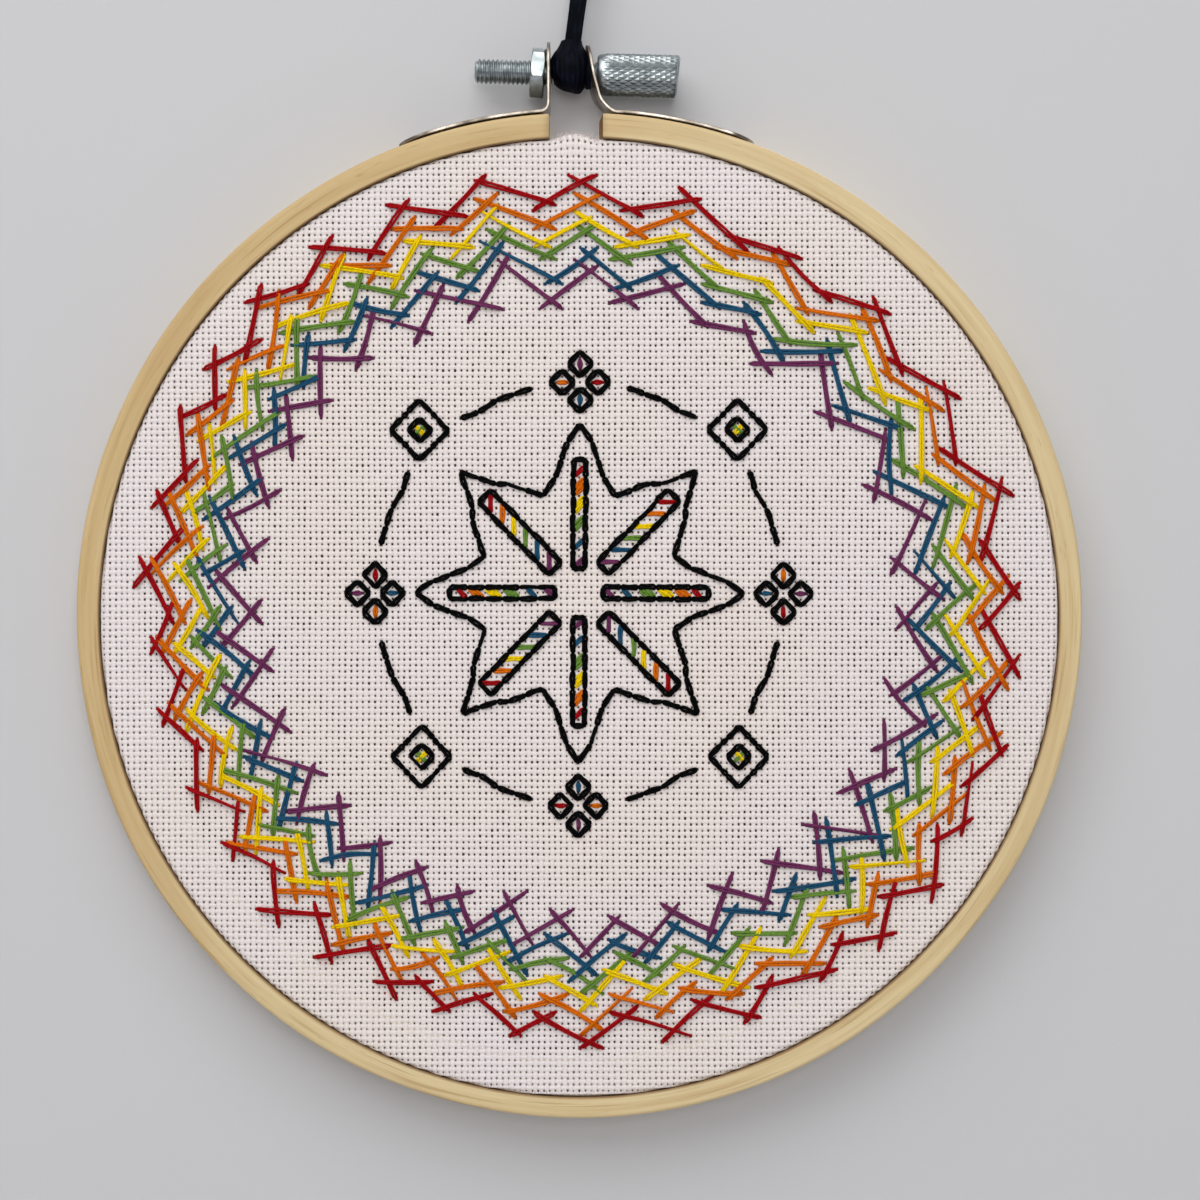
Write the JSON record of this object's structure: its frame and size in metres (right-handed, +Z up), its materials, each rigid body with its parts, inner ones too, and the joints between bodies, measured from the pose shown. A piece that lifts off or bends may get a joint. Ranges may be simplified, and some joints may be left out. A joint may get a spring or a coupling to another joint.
{
  "type": "hoop embroidery art: a round of embroidered cloth in its wooden embroidery hoop",
  "caption": "Round of evenweave cloth stretched in a split wooden embroidery hoop with a screw clamp, hung by a ribbon loop hitched round the screw.",
  "frame": {"origin": "where the hanging loop bears on its hook: the underside of the ribbon at the top of the loop, midway through the hoop's depth", "axes": "+Z up as it hangs, +X to the right seen from the front, the embroidered face looks along -Y and +Y runs into the wall"},
  "size_m": [0.155, 0.009, 0.2107],
  "materials": {
    "outer_wood": "sanded bare bamboo, grain along the ring",
    "inner_wood": "sanded bare bamboo",
    "cotton": "white plain evenweave",
    "clamp_steel": "thin nickel plate",
    "zinc_steel": "bright zinc plate",
    "black_ribbon": "black satin"
  },
  "bodies": {
    "hoop": {"outer_hoop": "outer_wood", "inner_hoop": "inner_wood", "cloth": "cotton", "clamp_left": "clamp_steel", "clamp_right": "clamp_steel", "hex_nut": "zinc_steel", "cord_knot": "black_ribbon", "cord_loop": "black_ribbon"},
    "thumbscrew": {"thumbscrew": "zinc_steel"}
  },
  "joints": [
    {"name": "thumbscrew_turn", "type": "hinge", "parent": "hoop", "child": "thumbscrew", "pos_m": [-0.00475, 0, -0.04844], "axis": [0.9996, 0, -0.0279], "continuous": true}
  ]
}
